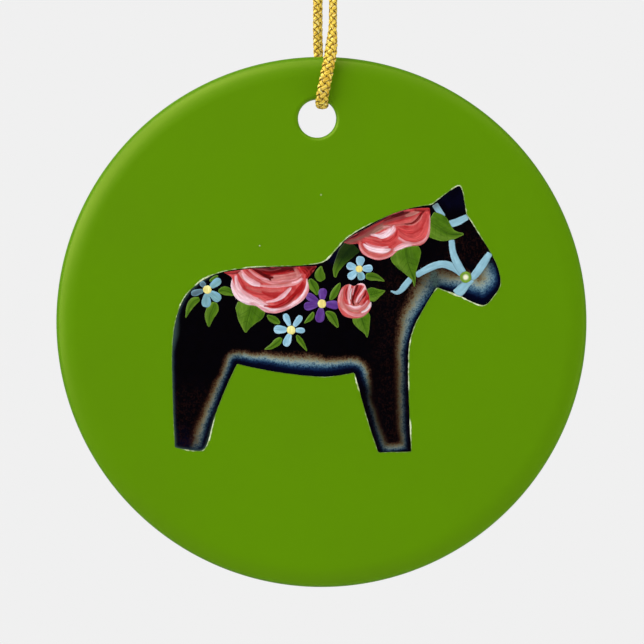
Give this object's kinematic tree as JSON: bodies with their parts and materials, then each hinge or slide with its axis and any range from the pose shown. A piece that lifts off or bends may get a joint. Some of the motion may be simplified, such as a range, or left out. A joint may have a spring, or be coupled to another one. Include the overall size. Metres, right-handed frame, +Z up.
{
  "type": "hanging ornament",
  "caption": "Flat round glazed ceramic ornament with a printed folk-art horse and flowers, hung on a loop of braided metallic cord that twists and rocks.",
  "frame": {"origin": "hang point: the inside top of the cord's loop, right under its knot", "axes": "+Z up, -Y out of the printed face, +X to the right as the face is seen"},
  "size_m": [0.0732, 0.008, 0.1391],
  "materials": {
    "white_glaze": "gloss",
    "green_glaze": "gloss",
    "cream_print": "gloss",
    "black_print": "gloss",
    "rose_print": "gloss",
    "blue_print": "gloss",
    "violet_print": "gloss",
    "yellow_print": "gloss",
    "leaf_print": "gloss",
    "halter_print": "gloss",
    "button_print": "gloss",
    "gold_cord": "metallic braid"
  },
  "bodies": {
    "hang_knot": {"cord_knot": "gold_cord", "cord_eye": "gold_cord", "cord_tail_left": "gold_cord", "cord_tail_right": "gold_cord"},
    "cord_loop": {"cord_strands": "gold_cord"},
    "ornament": {"porcelain_disc": "white_glaze", "green_glaze": "green_glaze", "horse_keyline": "cream_print", "horse_silhouette": "black_print", "back_rose": "rose_print", "neck_rose": "rose_print", "rosebud": "rose_print", "rump_flower_petals": "blue_print", "rump_flower_centre": "yellow_print", "belly_flower_petals": "blue_print", "belly_flower_centre": "yellow_print", "violet_flower_petals": "violet_print", "violet_flower_centre": "yellow_print", "neck_flower_petals": "blue_print", "neck_flower_centre": "yellow_print", "rump_flower_leaves": "leaf_print", "back_rose_leaf": "leaf_print", "withers_leaf": "leaf_print", "belly_flower_leaves": "leaf_print", "violet_flower_leaves": "leaf_print", "rosebud_leaves": "leaf_print", "neck_flower_leaf": "leaf_print", "mane_leaf": "leaf_print", "throat_leaf": "leaf_print", "cheek_leaf": "leaf_print", "poll_strap": "halter_print", "brow_band": "halter_print", "cheek_strap": "halter_print", "nose_band": "halter_print", "chin_strap": "halter_print", "rein": "halter_print", "rein_end": "halter_print", "halter_button": "button_print"}
  },
  "joints": [
    {"name": "cord_twist", "type": "hinge", "parent": "hang_knot", "child": "cord_loop", "pos_m": [0, 0, -0.00515], "axis": [0, 0, 1], "range_deg": [-180, 180], "stiffness_Nm_per_rad": 0.000025},
    {"name": "disc_rock", "type": "hinge", "parent": "cord_loop", "child": "ornament", "pos_m": [0.0001, 0, -0.0584], "axis": [0, 1, 0], "range_deg": [-60, 60]}
  ]
}
